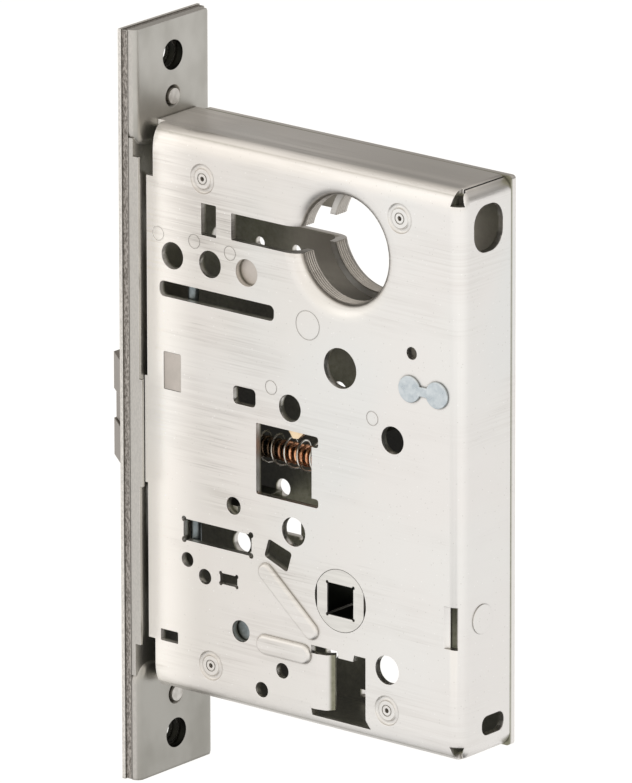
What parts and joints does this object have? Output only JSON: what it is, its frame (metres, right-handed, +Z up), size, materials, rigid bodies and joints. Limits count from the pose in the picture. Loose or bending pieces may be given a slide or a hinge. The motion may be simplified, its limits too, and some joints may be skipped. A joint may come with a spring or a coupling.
{
  "type": "mortise lock",
  "caption": "Sheet-steel mortise lock case with armor front, bevelled latchbolt, two square-hole hubs and a threaded cylinder hole in each side.",
  "frame": {"origin": "centre of the armor front's outer face, mid-thickness of the case", "axes": "+X into the door, away from the armor front; +Y towards the case cover; +Z up"},
  "size_m": [0.1289, 0.0318, 0.2032],
  "materials": {
    "armor_steel": "satin brushed, vertical grain",
    "front_steel": "rolled zinc-plated steel with sheared edges",
    "case_steel": "bright zinc-plated sheet, fine lengthwise grain",
    "screw_steel": "bright zinc-plated",
    "inner_steel": "dark oiled steel",
    "guide_metal": "plain satin metal",
    "zinc_rivet": "bluish bright zinc",
    "latch_steel": "satin stainless",
    "tongue_metal": "satin stainless",
    "spring_steel": "drawn music wire",
    "copper_wire": "copper-coated wire",
    "hub_steel": "ground zinc-plated steel",
    "lever_brass": "plain rolled brass"
  },
  "bodies": {
    "case": {"armor_front": "armor_steel", "inner_front": "front_steel", "front_channel": "front_steel", "armor_screws": "screw_steel", "case_body": "case_steel", "case_cover": "case_steel", "case_posts": "inner_steel", "cover_screws": "screw_steel", "latch_guide": "guide_metal", "latch_shelf": "inner_steel", "spring_stop": "inner_steel", "hub_spring_seat": "inner_steel", "rivet_plate": "zinc_rivet", "stop_plate": "guide_metal", "link_rods": "zinc_rivet", "lower_stud": "zinc_rivet", "latch_spring": "spring_steel", "inner_spring": "copper_wire", "near_hub_spring": "spring_steel", "far_hub_spring": "spring_steel", "lever_pin": "inner_steel"},
    "latch": {"latchbolt": "latch_steel", "tongue_pin": "screw_steel", "latch_tail": "inner_steel", "tail_plate": "inner_steel", "tail_clip": "spring_steel"},
    "tongue": {"latch_tongue": "tongue_metal"},
    "near_hub_body": {"near_hub": "hub_steel"},
    "far_hub_body": {"far_hub": "hub_steel"},
    "lever": {"trip_lever": "lever_brass"}
  },
  "joints": [
    {"name": "near_hub_turn", "type": "hinge", "parent": "case", "child": "near_hub_body", "pos_m": [0.06985, 0, -0.04], "axis": [0, 1, 0], "range_deg": [0, 45.05], "deforming": ["near_hub_spring"]},
    {"name": "far_hub_turn", "type": "hinge", "parent": "case", "child": "far_hub_body", "pos_m": [0.06985, 0, -0.04], "axis": [0, 1, 0], "range_deg": [0, 45.05], "deforming": ["far_hub_spring"]},
    {"name": "latch_slide", "type": "slide", "parent": "case", "child": "latch", "axis": [1, 0, 0], "range_m": [0, 0.01905], "deforming": ["latch_spring", "inner_spring"]},
    {"name": "tongue_tilt", "type": "hinge", "parent": "latch", "child": "tongue", "pos_m": [0.003, 0.001, -0.0075], "axis": [0, 0, -1], "range_deg": [0, 6]},
    {"name": "lever_swing", "type": "hinge", "parent": "case", "child": "lever", "pos_m": [0.038, -0.0078, 0.0028], "axis": [0, -1, 0], "range_deg": [0, 12]}
  ],
  "couplings": [
    {"joint": "near_hub_turn", "follows": "latch_slide", "rad_per_m": 41.229},
    {"joint": "far_hub_turn", "follows": "latch_slide", "rad_per_m": 41.229}
  ]
}
